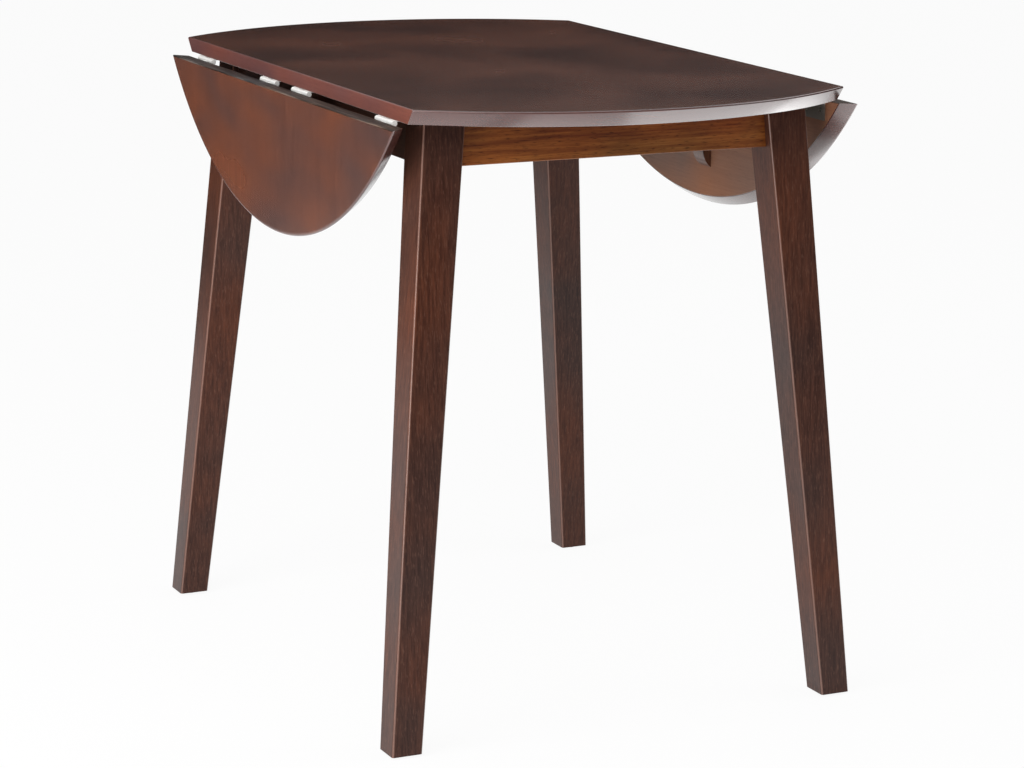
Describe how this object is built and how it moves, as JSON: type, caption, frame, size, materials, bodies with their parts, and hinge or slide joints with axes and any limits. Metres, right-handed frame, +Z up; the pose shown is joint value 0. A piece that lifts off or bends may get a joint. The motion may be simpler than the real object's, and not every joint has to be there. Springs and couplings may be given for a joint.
{
  "type": "drop-leaf dining table",
  "caption": "Round dining table with hinged drop leaves hanging either side of a centre panel, on splayed tapered legs joined by aprons; raised leaves make a full circle.",
  "frame": {"origin": "on the floor below the middle of the top", "axes": "+Z up, hinge lines along Y, leaves hanging at -X and +X, front apron at -Y"},
  "size_m": [0.608, 0.9114, 0.747],
  "materials": {
    "top_wood": "dark walnut stain, semi-gloss lacquer",
    "leg_wood": "dark walnut stain, semi-gloss lacquer",
    "apron_wood": "dark walnut stain, semi-gloss lacquer",
    "inner_wood": "dark stain, satin",
    "hinge_steel": "bright nickel plate",
    "fastener_steel": "zinc plate",
    "glide_nylon": "moulded nylon"
  },
  "bodies": {
    "frame": {"front_apron": "apron_wood", "front_left_corner_block": "inner_wood", "front_left_glide": "glide_nylon", "front_left_leg": "leg_wood", "front_right_corner_block": "inner_wood", "front_right_glide": "glide_nylon", "front_right_leg": "leg_wood", "hanger_bolts": "fastener_steel", "keeper_screws": "fastener_steel", "left_apron": "apron_wood", "left_front_hinge_fixed_plate": "hinge_steel", "left_front_hinge_pin": "hinge_steel", "left_inner_front_hinge_fixed_plate": "hinge_steel", "left_inner_front_hinge_pin": "hinge_steel", "left_inner_rear_hinge_fixed_plate": "hinge_steel", "left_inner_rear_hinge_pin": "hinge_steel", "left_loper": "inner_wood", "left_loper_keeper": "inner_wood", "left_rear_hinge_fixed_plate": "hinge_steel", "left_rear_hinge_pin": "hinge_steel", "leg_nuts": "fastener_steel", "leg_washers": "fastener_steel", "loper_stop_dowels": "inner_wood", "panel_hinge_screws": "fastener_steel", "rear_apron": "apron_wood", "rear_left_corner_block": "inner_wood", "rear_left_glide": "glide_nylon", "rear_left_leg": "leg_wood", "rear_right_corner_block": "inner_wood", "rear_right_glide": "glide_nylon", "rear_right_leg": "leg_wood", "right_apron": "apron_wood", "right_front_hinge_fixed_plate": "hinge_steel", "right_front_hinge_pin": "hinge_steel", "right_inner_front_hinge_fixed_plate": "hinge_steel", "right_inner_front_hinge_pin": "hinge_steel", "right_inner_rear_hinge_fixed_plate": "hinge_steel", "right_inner_rear_hinge_pin": "hinge_steel", "right_loper": "inner_wood", "right_loper_keeper": "inner_wood", "right_rear_hinge_fixed_plate": "hinge_steel", "right_rear_hinge_pin": "hinge_steel", "top_panel": "top_wood", "top_screws": "fastener_steel"},
    "left_leaf": {"left_front_hinge_moving_plate": "hinge_steel", "left_inner_front_hinge_moving_plate": "hinge_steel", "left_inner_rear_hinge_moving_plate": "hinge_steel", "left_leaf": "top_wood", "left_leaf_batten": "inner_wood", "left_leaf_hinge_screws": "fastener_steel", "left_rear_hinge_moving_plate": "hinge_steel"},
    "right_leaf": {"right_front_hinge_moving_plate": "hinge_steel", "right_inner_front_hinge_moving_plate": "hinge_steel", "right_inner_rear_hinge_moving_plate": "hinge_steel", "right_leaf": "top_wood", "right_leaf_batten": "inner_wood", "right_leaf_hinge_screws": "fastener_steel", "right_rear_hinge_moving_plate": "hinge_steel"}
  },
  "joints": [
    {"name": "left_leaf_hinge", "type": "hinge", "parent": "frame", "child": "left_leaf", "pos_m": [-0.27675, 0, 0.7255], "axis": [0, 1, 0], "range_deg": [0, 90]},
    {"name": "right_leaf_hinge", "type": "hinge", "parent": "frame", "child": "right_leaf", "pos_m": [0.27675, 0, 0.7255], "axis": [0, -1, 0], "range_deg": [0, 90]}
  ]
}
